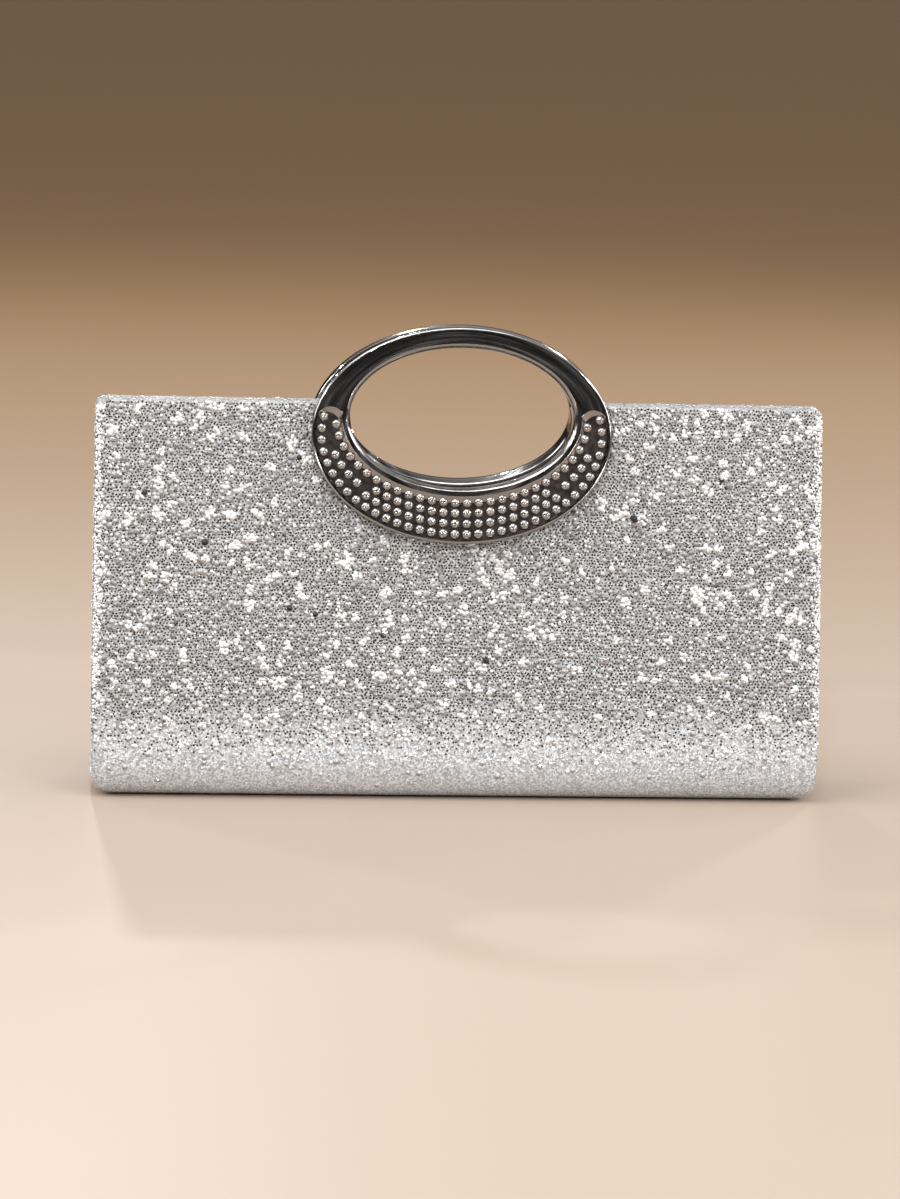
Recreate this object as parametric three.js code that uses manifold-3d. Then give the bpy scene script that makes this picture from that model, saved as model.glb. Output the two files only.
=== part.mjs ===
// A box clutch purse: two stiffened glitter walls that swing apart on a rounded base, side gussets that fold
// inwards between them, and an oval ring handle with a beaded crescent on each wall.
// Millimetres, +Z up, X along the width, the front wall towards -Y, origin at the middle of the underside.
import * as THREE from "three";
import { ConvexGeometry } from "three/addons/geometries/ConvexGeometry.js";
import { mergeVertices } from "three/addons/utils/BufferGeometryUtils.js";
import Module from "manifold-3d";

// Overall shape
const bodyWidth = 250;
const bodyHeight = 135.5;
const mouthHalfDepth = 5; // from the middle plane to a wall's outer face, at the top edge
const footHalfDepth = 21.5; // the same at the foot of the flat wall
const footHeight = 27; // where the flat wall turns into the rounded base
const flatHalfDepth = 12; // half of the flat strip that the purse stands on
const topCornerRadius = 2.5;
const baseCornerRadius = 6;

// Layers of a wall, counted inwards from its outer face
const gap = 0.3; // between pieces that touch
const past = 1; // how far a cutting shape runs past what it cuts
const coverThickness = 1;
const boardThickness = 1.6;
const liningThickness = 0.5;
const turnThickness = 0.8; // the cover where it is turned in at the top edge
const turnDepth = 6;
const boardFace = coverThickness + gap;
const liningFace = boardFace + boardThickness + gap;
const wallThickness = liningFace + liningThickness;
const turnedThickness = liningFace + turnThickness;
const sideLip = 1;
const boardCornerRadius = 1;

// Handle ring, drawn in the plane of its wall. Heights are above the foot of the flat wall.
const wallLength = Math.hypot(footHalfDepth - mouthHalfDepth, bodyHeight - footHeight);
const lean = Math.atan2(footHalfDepth - mouthHalfDepth, bodyHeight - footHeight);
const grip = { centre: wallLength - 5.1, halfWidth: 38.4, halfHeight: 23.9 };
const rim = { centre: wallLength - 11.3, halfWidth: 51.6, halfHeight: 37.1 };
const ringThickness = 4.2;
const ringBevel = 1.2;
const ringFace = -gap - ringThickness;
const trayLip = 1.3;
const trayInner = grown(grip, 2.8, 3.2);
const trayOuter = grown(rim, -trayLip);
const trayTop = grip.centre + 1;
const trayEndRise = 4;
const trayDepth = 2.4;
const collarThickness = 0.9; // the part of the ring that lines the notch in the wall
const collarTop = wallLength - 1;
const stripThickness = 0.8;
const stripEndRise = 2.8;
const beadRadius = 1.6;
const beadHeight = 1.3;
const beadPitch = 4.05;
const rowMargin = 2.1; // from the tray's wall to the middle of the row beside it
const outerRow = grown(trayOuter, -rowMargin);
const innerRow = grown(trayInner, rowMargin);
const roomForFour = 10.3; // from the outer to the inner row, where two rows fit between them
const roomForThree = 7.5;
const clampThickness = 1;
const clampTop = wallLength - 7;
const clampNear = turnedThickness + gap;

// Fasteners, closures and strap links
const screwAngles = [-158, -112, -68, -22]; // degrees round the ring from its right-hand end
const screwShare = 0.45; // of the way in from the ring's outer edge to its opening
const screwSize = { radius: 1, headRadius: 2.2, headThickness: 0.9 };
const screwHoleRadius = 1.4;
const screwBite = 1.2; // the depth of a screw in the ring
const snapAcross = 60; // from the middle to each magnetic snap
const snapBelowTop = 9.5;
const snapRadius = 7;
const snapDepth = 8; // more than enough to reach the wall
const snapBevel = 0.4;
const snapClearance = 0.2; // from the middle plane to each half's face
const snapStudRadius = 1.8;
const snapStudLength = 1.3;
const neckRadius = 1.8;
const neckHoleRadius = 2.6;
const washerRadius = 5;
const washerThickness = 0.4;
const linkAcross = 83;
const linkBelowTop = 8.2;
const linkReach = 10; // between the link's two holes
const linkHalfWidth = 3;
const linkThickness = 1;
const linkEyeRadius = 1.9;
const linkClearance = 0.1;
const rivetSize = { radius: 1.2, headRadius: 2.3, headThickness: 0.8 };
const rivetHoleRadius = 1.6;
const chamfer = 0.3; // on the heads of screws and rivets and on the snap's stud

// Soft parts inside
const gussetAcross = 122.5;
const gussetThickness = 0.7;
const gussetFold = 24; // how far the crease runs in at the mouth
const gussetTop = 133;
const pocketWidth = 112;
const pocketFoot = 8;
const pocketHeight = 46;
const pocketThickness = 0.6;

const finish = (color, roughness, metalness) =>
  new THREE.MeshStandardMaterial({ color, roughness, metalness });
const glitter = finish(0xc4c4c6, 0.35, 0.7);
const satin = finish(0xb9bbbf, 0.5, 0);
const leatherette = finish(0xa9abaf, 0.4, 0.5);
const cardboard = finish(0xa89a86, 0.9, 0);
const darkChrome = finish(0x5c5a5a, 0.12, 1);
const silver = finish(0xc9c6c4, 0.15, 1);
const steel = finish(0xaeb0b3, 0.3, 1);

const wasm = await Module();
wasm.setup();

// ---- Solids and the ways to draw them ----

// A closed geometry as a solid. Its shared vertices are merged and the empty triangles at poles are left out.
function solid(geometry) {
  const bare = geometry.clone();
  bare.deleteAttribute("normal");
  bare.deleteAttribute("uv");
  const merged = mergeVertices(bare, 1e-4);
  const corners = merged.index.array;
  const triVerts = [];
  for (let i = 0; i < corners.length; i += 3) {
    const [a, b, c] = corners.slice(i, i + 3);
    if (a !== b && b !== c && c !== a) triVerts.push(a, b, c);
  }
  const vertProperties = merged.getAttribute("position").array;
  const mesh = new wasm.Mesh({ numProp: 3, vertProperties, triVerts: new Uint32Array(triVerts) });
  return new wasm.Manifold(mesh);
}

function geometryOf(made) {
  const mesh = made.getMesh();
  const geometry = new THREE.BufferGeometry();
  geometry.setAttribute("position", new THREE.BufferAttribute(mesh.vertProperties, 3));
  geometry.setIndex(new THREE.BufferAttribute(mesh.triVerts, 1));
  return geometry.toNonIndexed();
}

function piece(name, made, material) {
  const geometry = geometryOf(made);
  geometry.computeVertexNormals();
  const mesh = new THREE.Mesh(geometry, material);
  mesh.name = name;
  return mesh;
}

// An outline in X and Z, made solid between two depths along Y.
function plate(outline, near, far, curveSegments = 28) {
  const options = { depth: far - near, bevelEnabled: false, curveSegments };
  return new THREE.ExtrudeGeometry(outline, options).rotateX(Math.PI / 2).translate(0, far, 0);
}

// An outline in Y and Z, made solid between two places along X.
const alongX = new THREE.Matrix4().makeBasis(
  new THREE.Vector3(0, 1, 0),
  new THREE.Vector3(0, 0, 1),
  new THREE.Vector3(1, 0, 0),
);
function bar(outline, from, to) {
  const options = { depth: to - from, bevelEnabled: false, curveSegments: 1 };
  return new THREE.ExtrudeGeometry(outline, options).applyMatrix4(alongX).translate(from, 0, 0);
}

// A box from its lowest to its highest corner.
function block(low, high) {
  const size = high.map((value, k) => value - low[k]);
  const middle = high.map((value, k) => (value + low[k]) / 2);
  return new THREE.BoxGeometry(...size).translate(...middle);
}

// A round piece about Y. The profile runs from the axis at its near end back to the axis at its far end.
function turned(profile, segments = 16) {
  return new THREE.LatheGeometry(profile.map(([radius, y]) => new THREE.Vector2(radius, y)), segments);
}

const disc = (radius, near, far, segments) =>
  turned([[0, near], [radius, near], [radius, far], [0, far]], segments);

// An oval that reaches further out, by its own amount across and up and down.
function grown(oval, across, upAndDown = across) {
  return { ...oval, halfWidth: oval.halfWidth + across, halfHeight: oval.halfHeight + upAndDown };
}

const ellipse = (oval) =>
  new THREE.Shape().absellipse(0, oval.centre, oval.halfWidth, oval.halfHeight, 0, 2 * Math.PI);

// The angle from an oval's right-hand end at which it reaches a height.
const angleAt = (oval, height) => Math.asin((height - oval.centre) / oval.halfHeight);

const pointOn = (oval, angle) =>
  new THREE.Vector2(oval.halfWidth * Math.cos(angle), oval.centre + oval.halfHeight * Math.sin(angle));

// The crescent between two ovals, below a height, with ends that rise by a rounded cap.
function crescent(outer, inner, top, endRise) {
  const outerAngle = angleAt(outer, top);
  const innerAngle = angleAt(inner, top);
  const innerEnd = pointOn(inner, innerAngle);
  const outerEnd = pointOn(outer, outerAngle);
  const capAcross = (innerEnd.x + outerEnd.x) / 2;
  const shape = new THREE.Shape();
  const along = (oval, from, to, clockwise) =>
    shape.absellipse(0, oval.centre, oval.halfWidth, oval.halfHeight, from, to, clockwise);
  shape.moveTo(outerEnd.x, outerEnd.y);
  along(outer, outerAngle, Math.PI - outerAngle, true);
  shape.quadraticCurveTo(-capAcross, top + endRise, -innerEnd.x, innerEnd.y);
  along(inner, Math.PI - innerAngle, innerAngle, false);
  shape.quadraticCurveTo(capAcross, top + endRise, outerEnd.x, outerEnd.y);
  return shape;
}

// A rectangle in X and Z with its own radius on the lower and the upper corners, where 0 is a sharp corner.
function roundedOutline(halfWidth, low, high, lowRadius, highRadius) {
  const shape = new THREE.Shape();
  const corner = (side, height, radius, start) => {
    if (radius === 0) {
      shape.lineTo(side * halfWidth, height);
      return;
    }
    const centre = height === low ? low + radius : high - radius;
    shape.absarc(side * (halfWidth - radius), centre, radius, start, start + Math.PI / 2);
  };
  shape.moveTo(0, low);
  corner(1, low, lowRadius, -Math.PI / 2);
  corner(1, high, highRadius, 0);
  corner(-1, high, highRadius, Math.PI / 2);
  corner(-1, low, lowRadius, Math.PI);
  shape.lineTo(0, low);
  return shape;
}

// ---- The rounded base and the wall's own frame ----

// The front half of the base's outer section, from the foot of the wall down to the flat strip.
const footReach = 14; // how far the curve keeps the direction of the wall
const baseCurve = new THREE.CubicBezierCurve(
  new THREE.Vector2(-footHalfDepth, footHeight),
  new THREE.Vector2(-footHalfDepth - footReach * Math.sin(lean), footHeight - footReach * Math.cos(lean)),
  new THREE.Vector2(-flatHalfDepth - 9, 0),
  new THREE.Vector2(-flatHalfDepth, 0),
);
const hingeShare = 0.55; // the share of the curve above the line that a wall swings about
const hingeGap = 0.006; // the share left open on each side of that line
const skirtOverlap = 0.6;

// A point of the base curve, moved inwards.
function inside(share, depth) {
  const tangent = baseCurve.getTangent(share);
  const point = baseCurve.getPoint(share);
  return new THREE.Vector2(point.x - tangent.y * depth, point.y + tangent.x * depth);
}

// Points at a depth, evenly spread between two shares of the base curve.
function alongBase(from, to, depth, steps = 6) {
  return Array.from({ length: steps + 1 }, (_, i) => inside(from + ((to - from) * i) / steps, depth));
}

// The section of a wall's skirt between two depths: a short straight start, then the curve to the hinge line.
function skirtBand(near, far) {
  const upTheWall = new THREE.Vector2(Math.sin(lean), Math.cos(lean)).multiplyScalar(skirtOverlap);
  const line = (depth) => [inside(0, depth).add(upTheWall), ...alongBase(0, hingeShare - hingeGap, depth)];
  return new THREE.Shape([...line(near), ...line(far).reverse()]);
}

// A line of points and its mirror image on the rear side, in order from front to rear.
function bothSides(points) {
  const mirrored = points.map((point) => new THREE.Vector2(-point.x, point.y));
  return [...points, ...mirrored.reverse()];
}

// The base's section between two depths, from one hinge line down, across the flat strip and up to the other.
function troughBand(near, far) {
  const line = (depth) => bothSides(alongBase(hingeShare + hingeGap, 1, depth));
  return new THREE.Shape([...line(near), ...line(far).reverse()]);
}

// What the front silhouette leaves of a piece, so that its lower corners are rounded.
const silhouette = solid(
  plate(roundedOutline(bodyWidth / 2, 0, bodyHeight + 5, baseCornerRadius, topCornerRadius), -30, 30, 6),
);

// The frame of the front wall: its outer face is at y = 0, and z runs up the wall from its foot.
const wallFrame = new THREE.Matrix4()
  .makeTranslation(0, -footHalfDepth, footHeight)
  .multiply(new THREE.Matrix4().makeRotationX(-lean));
const toWall = wallFrame.clone().invert();

// ---- Pieces that both walls have, in the wall's frame ----

const halfWidth = bodyWidth / 2;
const notch = solid(plate(ellipse(grown(grip, collarThickness + 2 * gap)), -past, turnedThickness + past));

const screwPlaces = screwAngles.map((degrees) => {
  const angle = THREE.MathUtils.degToRad(degrees);
  return pointOn(rim, angle).lerp(pointOn(grip, angle), screwShare);
});

// Round holes square to the wall, right through it unless their ends are given.
function drill(made, places, radius, near = -past, far = turnedThickness + past) {
  const holes = places.map((place) => solid(disc(radius, near, far, 12).translate(place.x, 0, place.y)));
  return made.subtract(wasm.Manifold.union(holes));
}

const snapHeight = wallLength - snapBelowTop;
const snapPlaces = [-1, 1].map((side) => new THREE.Vector2(side * snapAcross, snapHeight));
const linkHeight = wallLength - linkBelowTop;
const linkPlaces = [-1, 1].map((side) => new THREE.Vector2(side * linkAcross, linkHeight));

// The glitter fabric: over the outer face, round the sides, in over the top edge and down round the foot.
function cover() {
  const outline = roundedOutline(halfWidth, 0, wallLength, 0, topCornerRadius);
  const boardRoom = block(
    [-halfWidth + sideLip, coverThickness, -1],
    [halfWidth - sideLip, liningFace, wallLength - coverThickness],
  );
  const liningRoom = block(
    [-halfWidth + sideLip, coverThickness, -1],
    [halfWidth - sideLip, turnedThickness + past, wallLength - turnDepth],
  );
  const full = solid(plate(outline, 0, turnedThickness, 6));
  const face = full.subtract(solid(boardRoom)).subtract(solid(liningRoom));
  const skirt = solid(bar(skirtBand(0, coverThickness), -halfWidth, halfWidth)).intersect(silhouette);
  const made = face.add(solid(geometryOf(skirt).applyMatrix4(toWall))).subtract(notch);
  return drill(made, screwPlaces, screwHoleRadius);
}

// The stiffener. Its outer face is sunk where a snap's washer sits.
function board(hasLinks) {
  const edge = halfWidth - sideLip - gap;
  const outline = roundedOutline(edge, gap, wallLength - boardFace, boardCornerRadius, boardCornerRadius);
  const made = solid(plate(outline, boardFace, boardFace + boardThickness, 4)).subtract(notch);
  const screwed = drill(made, screwPlaces, screwHoleRadius);
  const necked = drill(screwed, snapPlaces, neckHoleRadius);
  const sunk = drill(necked, snapPlaces, washerRadius + gap, -past, boardFace + washerThickness + 2 * gap);
  return hasLinks ? drill(sunk, linkPlaces, rivetHoleRadius) : sunk;
}

function lining(hasLinks) {
  const edge = halfWidth - sideLip - gap;
  const outline = roundedOutline(edge, 0, wallLength - turnDepth - gap, 0, boardCornerRadius);
  const face = solid(plate(outline, liningFace, wallThickness, 4));
  const skirt = bar(skirtBand(liningFace, wallThickness), -edge, edge).applyMatrix4(toWall);
  const made = face.add(solid(skirt)).subtract(notch);
  const necked = drill(drill(made, screwPlaces, screwHoleRadius), snapPlaces, neckHoleRadius);
  return hasLinks ? drill(necked, linkPlaces, rivetHoleRadius) : necked;
}

// The cast oval ring, with a sunk crescent for the beads and a collar that lines the notch in the wall.
function handleRing() {
  const outline = ellipse(rim);
  outline.holes.push(ellipse(grip));
  const options = {
    depth: ringThickness - 2 * ringBevel,
    bevelThickness: ringBevel,
    bevelSize: ringBevel,
    bevelOffset: -ringBevel,
    bevelSegments: 1,
    curveSegments: 30,
  };
  const band = new THREE.ExtrudeGeometry(outline, options);
  band.rotateX(Math.PI / 2).translate(0, -gap - ringBevel, 0);
  const collar = crescent(grown(grip, collarThickness), grip, collarTop, 0);
  const tray = crescent(trayOuter, trayInner, trayTop, trayEndRise);
  const made = solid(band)
    .add(solid(plate(collar, ringFace / 2, turnedThickness, 30)))
    .subtract(solid(plate(tray, ringFace - past, ringFace + trayDepth, 26)));
  return drill(made, screwPlaces, screwSize.radius + gap, -gap - screwBite - gap, 0);
}

// How many rows of beads fit at an angle round the crescent, by the room towards the inner row's middle.
function rowsAt(angle) {
  const place = pointOn(outerRow, angle).sub(new THREE.Vector2(0, innerRow.centre));
  const reach = Math.hypot(place.x / innerRow.halfWidth, place.y / innerRow.halfHeight);
  const room = place.length() * (1 - 1 / reach);
  if (room > roomForFour) return 4;
  return room > roomForThree ? 3 : 2;
}

// Where the beads stand on one row, a share of the way in from the outer row to the inner one.
function beadsOnRow(share, stands) {
  const { lerp } = THREE.MathUtils;
  const row = {
    centre: lerp(outerRow.centre, innerRow.centre, share),
    halfWidth: lerp(outerRow.halfWidth, innerRow.halfWidth, share),
    halfHeight: lerp(outerRow.halfHeight, innerRow.halfHeight, share),
  };
  const end = angleAt(row, trayTop - 1);
  const arc = new THREE.EllipseCurve(0, row.centre, row.halfWidth, row.halfHeight, -Math.PI / 2, end);
  const length = arc.getLength();
  const places = [];
  for (let along = beadPitch / 2; along < length; along += beadPitch) {
    const place = arc.getPointAt(along / length);
    const angle = Math.atan2((place.y - row.centre) / row.halfHeight, place.x / row.halfWidth);
    if (stands(rowsAt(angle))) places.push(place, new THREE.Vector2(-place.x, place.y));
  }
  return places;
}

// Rows that follow the crescent: two at its ends, then three, and four in the middle.
function beadPlaces() {
  return [
    ...beadsOnRow(0, () => true),
    ...beadsOnRow(1 / 3, (rows) => rows === 4),
    ...beadsOnRow(1 / 2, (rows) => rows === 3),
    ...beadsOnRow(2 / 3, (rows) => rows === 4),
    ...beadsOnRow(1, () => true),
  ];
}

// The crescent strip that carries the domed beads. It lies in the ring's tray.
function beadStrip() {
  const outline = crescent(grown(trayOuter, -gap), grown(trayInner, gap), trayTop - gap, stripEndRise);
  const back = ringFace + trayDepth - gap;
  const strip = solid(plate(outline, back - stripThickness, back, 20));
  const dome = [[0, -beadHeight], [0.75 * beadRadius, -0.75 * beadHeight], [beadRadius, gap], [0, gap]];
  const bead = turned(dome, 6).translate(0, back - stripThickness, 0);
  const beads = beadPlaces().map((place) => solid(bead.clone().translate(place.x, 0, place.y)));
  return wasm.Manifold.union([strip, ...beads]);
}

// The plate inside the purse that the screws pull against.
function clampPlate() {
  const outline = crescent(grown(rim, -2), grown(grip, collarThickness + gap), clampTop, 1);
  const made = solid(plate(outline, clampNear, clampNear + clampThickness, 20));
  return drill(made, screwPlaces, screwHoleRadius, clampNear - past, clampNear + clampThickness + past);
}

// A pin square to the wall, from its tip to a head that seats at a depth.
function headedPin(place, tip, seat, size) {
  const end = seat + size.headThickness;
  const rimRadius = size.headRadius - chamfer;
  const pin = [[0, tip], [size.radius, tip], [size.radius, seat]];
  const head = [[size.headRadius, seat], [size.headRadius, end - chamfer], [rimRadius, end], [0, end]];
  return solid(turned([...pin, ...head], 12).translate(place.x, 0, place.y));
}

function screw(place) {
  return headedPin(place, -gap - screwBite, clampNear + clampThickness + gap, screwSize);
}

function washer(place) {
  const near = boardFace + gap;
  const ring = disc(washerRadius, near, near + washerThickness, 16).translate(place.x, 0, place.y);
  return drill(solid(ring), [place], neckHoleRadius);
}

const sideNames = ["left", "right"];

// One wall, from its outer side inwards. sides names the purse's sides at the wall's -X and +X ends.
function wall(name, hasLinks, sides) {
  const group = new THREE.Group();
  group.add(piece(`${name}_cover`, cover(), glitter));
  group.add(piece(`${name}_board`, board(hasLinks), cardboard));
  group.add(piece(`${name}_lining`, lining(hasLinks), satin));
  group.add(piece(`${name}_handle_ring`, handleRing(), darkChrome));
  group.add(piece(`${name}_bead_strip`, beadStrip(), silver));
  group.add(piece(`${name}_clamp_plate`, clampPlate(), steel));
  screwPlaces.forEach((place, i) => group.add(piece(`${name}_clamp_screw_${i + 1}`, screw(place), steel)));
  snapPlaces.forEach((place, i) => group.add(piece(`${name}_snap_washer_${sides[i]}`, washer(place), steel)));
  group.applyMatrix4(wallFrame);
  return group;
}

// ---- Magnetic snaps. Their faces are upright, so that they meet flat. Their backs lie on the walls. ----

const snapCentre = new THREE.Vector3(0, 0, snapHeight).applyMatrix4(wallFrame);
const neckEnd = snapCentre.y + boardFace + boardThickness / 2;
const frontSeat = solid(
  block([-halfWidth, -20, 0], [halfWidth, turnedThickness + gap, wallLength + 5]).applyMatrix4(wallFrame),
);

// A snap's half, drawn as the front one. Its profile starts on the axis at the face and ends at its rim.
function snapHalf(side, profile) {
  const made = solid(turned([[0, -snapDepth], [snapRadius, -snapDepth], ...profile.reverse()], 20));
  const neck = solid(disc(neckRadius, neckEnd, -snapClearance - snapStudLength - 2 * gap, 14));
  const place = [side * snapAcross, 0, snapCentre.z];
  return made.translate(place).subtract(frontSeat).add(neck.translate(place));
}

// The half on the front wall, with a well for the stud.
function snapSocket(side) {
  const well = snapStudRadius + gap;
  const floor = -snapClearance - snapStudLength - gap;
  const face = [[well, -snapClearance], [snapRadius - snapBevel, -snapClearance]];
  return snapHalf(side, [[0, floor], [well, floor], ...face, [snapRadius, -snapClearance - snapBevel]]);
}

// The half on the rear wall, with the stud.
function snapStud(side) {
  const tip = snapStudLength - snapClearance;
  const stud = [[0, tip], [snapStudRadius - chamfer, tip], [snapStudRadius, tip - chamfer]];
  const face = [[snapStudRadius, -snapClearance], [snapRadius - snapBevel, -snapClearance]];
  return snapHalf(side, [...stud, ...face, [snapRadius, -snapClearance - snapBevel]]).mirror([0, 1, 0]);
}

// ---- Strap links, on the inside of the rear wall ----

const linkNear = turnedThickness + gap + linkClearance;

function strapRivet(place) {
  const seat = linkNear + linkThickness + gap;
  return headedPin(place, boardFace + gap, seat, rivetSize);
}

function strapLink(place) {
  const shape = new THREE.Shape();
  shape.absarc(0, 0, linkHalfWidth, 0, Math.PI);
  shape.absarc(0, -linkReach, linkHalfWidth, Math.PI, 2 * Math.PI);
  shape.holes.push(new THREE.Path().absarc(0, 0, rivetSize.radius + gap, 0, 2 * Math.PI, true));
  shape.holes.push(new THREE.Path().absarc(0, -linkReach, linkEyeRadius, 0, 2 * Math.PI, true));
  return solid(plate(shape, linkNear, linkNear + linkThickness, 10).translate(place.x, 0, place.y));
}

// ---- The base and its gussets ----

function baseCover() {
  return solid(bar(troughBand(0, coverThickness), -halfWidth, halfWidth)).intersect(silhouette);
}

function baseBoard() {
  const edge = halfWidth - baseCornerRadius;
  return solid(block([-edge, -flatHalfDepth, boardFace], [edge, flatHalfDepth, boardFace + boardThickness]));
}

function baseLining() {
  const edge = halfWidth - sideLip - gap;
  return solid(bar(troughBand(liningFace, wallThickness), -edge, edge)).intersect(silhouette);
}

// Half of the room between the linings at a height above the foot.
function halfRoom(height) {
  const outerFace = footHalfDepth - (height - footHeight) * Math.tan(lean);
  return outerFace - turnedThickness / Math.cos(lean) - 2 * gap;
}

function panel(corners) {
  const shift = new THREE.Vector3(gussetThickness, 0, 0);
  return solid(new ConvexGeometry([...corners, ...corners.map((corner) => corner.clone().add(shift))]));
}

// One gusset: an end panel in the rounded base, and above it two halves that meet in a crease.
function gusset(side) {
  const seat = gussetAcross - gussetThickness;
  const foot = footHeight - 2; // a little below the top of the end panel, so that the two join
  const panels = [-1, 1].flatMap((way) => {
    const footSeam = new THREE.Vector3(seat, way * halfRoom(footHeight), foot);
    const footMiddle = new THREE.Vector3(seat, 0, foot);
    const topMiddle = new THREE.Vector3(seat - gussetFold, 0, gussetTop);
    const topSeam = new THREE.Vector3(seat, way * halfRoom(gussetTop), gussetTop);
    return [panel([footSeam, footMiddle, topMiddle]), panel([footSeam, topMiddle, topSeam])];
  });
  const depth = wallThickness + 2 * gap;
  const end = new THREE.Shape(bothSides(alongBase(0, 1, depth, 8)));
  const made = wasm.Manifold.union([solid(bar(end, seat, gussetAcross)), ...panels]);
  return side > 0 ? made : made.mirror([1, 0, 0]);
}

// The slip pocket, sewn flat on the rear lining.
function slipPocket() {
  const outline = roundedOutline(pocketWidth / 2, pocketFoot, pocketFoot + pocketHeight, 6, 0.5);
  return solid(plate(outline, wallThickness + gap, wallThickness + gap + pocketThickness, 4));
}

// ---- Assembly ----

const purse = new THREE.Group();
purse.add(piece("base_cover", baseCover(), glitter));
purse.add(piece("base_board", baseBoard(), cardboard));
purse.add(piece("base_lining", baseLining(), satin));
purse.add(piece("left_gusset", gusset(-1), leatherette));
purse.add(piece("right_gusset", gusset(1), leatherette));

purse.add(wall("front", false, sideNames));
[-1, 1].forEach((side, i) => purse.add(piece(`front_snap_${sideNames[i]}`, snapSocket(side), steel)));

// The rear wall is the front wall turned round, so its -X end is the purse's right side.
const turnedNames = sideNames.toReversed();
const rear = wall("rear", true, turnedNames);
rear.add(piece("slip_pocket", slipPocket(), satin));
linkPlaces.forEach((place, i) => {
  rear.add(piece(`${turnedNames[i]}_strap_rivet`, strapRivet(place), steel));
  rear.add(piece(`${turnedNames[i]}_strap_link`, strapLink(place), steel));
});
const turnedRound = new THREE.Group();
turnedRound.rotation.z = Math.PI;
turnedRound.add(rear);
purse.add(turnedRound);
[-1, 1].forEach((side, i) => purse.add(piece(`rear_snap_${sideNames[i]}`, snapStud(side), steel)));

export default purse;
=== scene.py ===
"""The clutch purse as it looks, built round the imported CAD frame.

Lengths are millimetres, in the frame of the CAD, and turn into metres as each piece is made. Most pieces are
drawn for the front half and turned round the upright axis for the rear one. The flat wall has a frame of its
own: across, depth inwards from the outer face, and height above the foot of the wall. The fabric has another:
across, distance down from the top edge along the section, and depth.
"""

import math

import bmesh
import bpy
import numpy as np
from mathutils import Matrix, Vector


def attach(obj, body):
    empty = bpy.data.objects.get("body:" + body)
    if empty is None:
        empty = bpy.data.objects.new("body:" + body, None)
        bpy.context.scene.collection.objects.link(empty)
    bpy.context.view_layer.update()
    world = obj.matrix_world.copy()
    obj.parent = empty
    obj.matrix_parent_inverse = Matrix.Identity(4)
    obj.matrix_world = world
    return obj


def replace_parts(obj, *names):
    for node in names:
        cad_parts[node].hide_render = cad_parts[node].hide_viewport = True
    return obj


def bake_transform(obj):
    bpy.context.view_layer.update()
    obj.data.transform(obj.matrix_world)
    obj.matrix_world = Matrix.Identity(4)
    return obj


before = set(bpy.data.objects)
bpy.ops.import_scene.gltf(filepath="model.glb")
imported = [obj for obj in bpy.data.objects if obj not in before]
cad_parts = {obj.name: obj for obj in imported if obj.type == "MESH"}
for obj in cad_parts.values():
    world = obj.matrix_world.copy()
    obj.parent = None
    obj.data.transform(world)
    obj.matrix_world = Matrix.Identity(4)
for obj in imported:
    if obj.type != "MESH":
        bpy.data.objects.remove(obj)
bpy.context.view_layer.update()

MM = 0.001
SIDES = ("front", "rear")

# Overall shape, as in the CAD
HALF_WIDTH = 125
BODY_HEIGHT = 135.5
MOUTH_HALF_DEPTH = 5
FOOT_HALF_DEPTH = 21.5
FOOT_HEIGHT = 27
FLAT_HALF_DEPTH = 12
TOP_CORNER = 2.5
BASE_CORNER = 6
END_BLEND = 2.0
WALL_THICKNESS = 3.7
TURNED_THICKNESS = 4.0
RISE = BODY_HEIGHT - FOOT_HEIGHT
LEAN = math.atan2(FOOT_HALF_DEPTH - MOUTH_HALF_DEPTH, RISE)
WALL_LENGTH = math.hypot(FOOT_HALF_DEPTH - MOUTH_HALF_DEPTH, RISE)
# How far the slant of the wall carries on into the curve down to the base
FOOT_REACH = 14

# Handle ring: ovals in the plane of the wall as (height of the centre, half width, half height)
GRIP = (WALL_LENGTH - 5.1, 38.4, 23.9)
RIM = (WALL_LENGTH - 11.3, 51.6, 37.1)
RING_BACK = -0.3
RING_FACE = -4.5
RIM_ROUND = 0.9
GRIP_CHAMFER = 1.35
TRAY_OUTER = (RIM[0], RIM[1] - 1.3, RIM[2] - 1.3)
TRAY_INNER = (GRIP[0], GRIP[1] + 2.8, GRIP[2] + 3.2)
TRAY_TOP = GRIP[0] + 1
TRAY_END_RISE = 4
TRAY_FLOOR = -2.1
SLOPE_WIDTH = 2.0
SLOPE_WIDTH_AT_ENDS = 1.3
SLOPE_WIDTH_AT_TIPS = 1.7
PLATE_FACE = -3.2
BEAD_RADIUS = 1.6
BEAD_HEIGHT = 1.3
BEAD_CAP = math.radians(57)
BEAD_PITCH = 4.05
ROW_MARGIN = 2.1
ROOM_FOR_FOUR = 10.3
ROOM_FOR_THREE = 7.5
COLLAR_TOP = WALL_LENGTH - 1
SCREW_ANGLES = (-158, -112, -68, -22)
SCREW_SHARE = 0.45
SNAP_ACROSS = 60
SNAP_BELOW_TOP = 9.5
SNAP_RADIUS = 7
LINK_ACROSS = 83
LINK_BELOW_TOP = 8.2
LINK_REACH = 10
LINK_HALF_WIDTH = 3
LINK_NEAR = 4.4
LINK_THICKNESS = 1
LINK_EYE = 1.9
RIVET_HOLE = 1.5
RIVET_SHANK = 1.2
RIVET_HEAD = 2.3

rng = np.random.default_rng(7)


# ---- Frames ----


# From the front wall's own frame to the front half's
WALL_FRAME = Matrix.Translation((0, -FOOT_HALF_DEPTH, FOOT_HEIGHT)) @ Matrix.Rotation(-LEAN, 4, "X")


def wall_matrix(side):
    """From the wall's own frame in millimetres to the world in metres."""
    return turn_matrix(side) @ WALL_FRAME


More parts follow.
